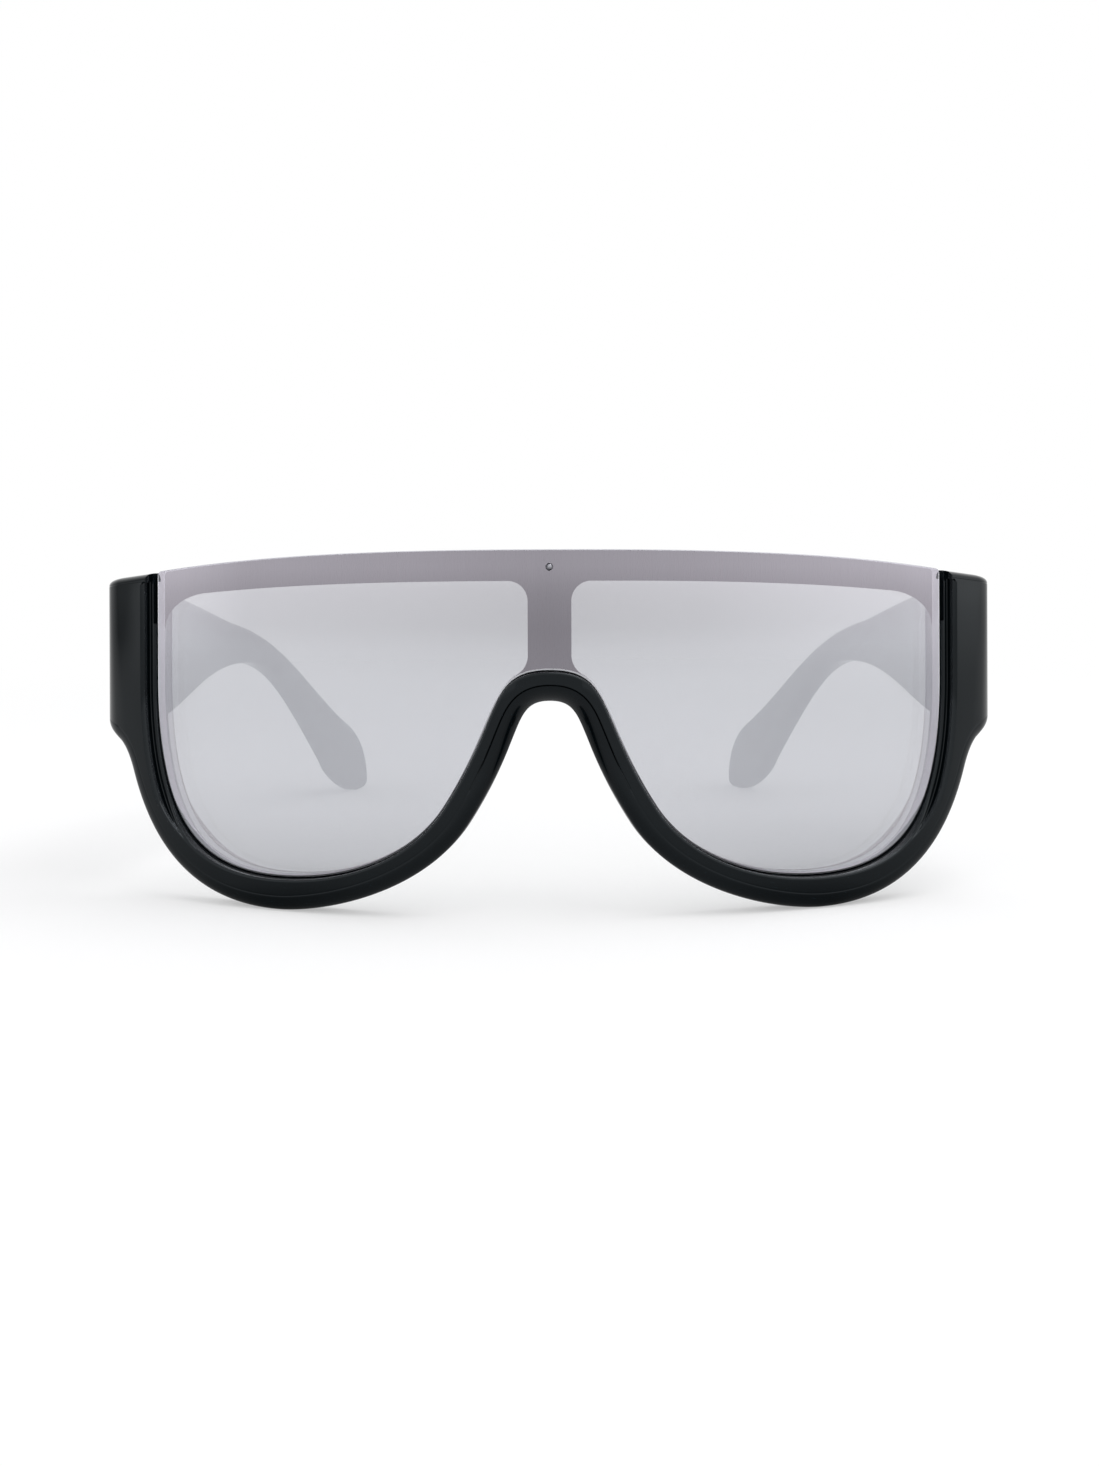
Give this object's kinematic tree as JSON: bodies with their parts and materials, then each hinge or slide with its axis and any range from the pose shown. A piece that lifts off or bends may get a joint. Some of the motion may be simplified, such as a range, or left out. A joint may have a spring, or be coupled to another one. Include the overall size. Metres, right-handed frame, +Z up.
{
  "type": "mask sunglasses",
  "caption": "Flat-top mask sunglasses with a mirrored shield lens laid on a deep black rim, and folding curved temples.",
  "frame": {"origin": "on the ground under the middle of the glasses' box, where the rims' lowest points and the temple tips rest", "axes": "+X to the viewer's right across the lens, the wearer looks along -Y, +Z up"},
  "size_m": [0.1514, 0.144, 0.058],
  "materials": {
    "frame_black": "polished black injected plastic",
    "temple_black": "polished black acetate",
    "mirror_lens": "half-mirrored silver coating over a grey polycarbonate shield",
    "pad_black": "smooth black pad",
    "pin_metal": "small domed steel pin",
    "hinge_metal": "nickel silver, lightly brushed",
    "screw_metal": "turned steel screw",
    "core_metal": "stamped wire core, hidden inside the temple"
  },
  "bodies": {
    "front": {"front_frame": "frame_black", "shield_lens": "mirror_lens", "lens_pin": "pin_metal", "nose_pad_left": "pad_black", "nose_pad_right": "pad_black", "hinge_front_left": "hinge_metal", "hinge_front_right": "hinge_metal", "hinge_screw_left": "screw_metal", "hinge_screw_right": "screw_metal"},
    "temple_left": {"temple_left": "temple_black", "temple_core_left": "core_metal", "hinge_temple_left": "hinge_metal"},
    "temple_right": {"temple_right": "temple_black", "temple_core_right": "core_metal", "hinge_temple_right": "hinge_metal"}
  },
  "joints": [
    {"name": "fold_left", "type": "hinge", "parent": "front", "child": "temple_left", "pos_m": [-0.06838, -0.04153, 0.0405], "axis": [0, 0, -1], "range_deg": [0, 84]},
    {"name": "fold_right", "type": "hinge", "parent": "front", "child": "temple_right", "pos_m": [0.06838, -0.04153, 0.0405], "axis": [0, 0, 1], "range_deg": [0, 75]}
  ]
}
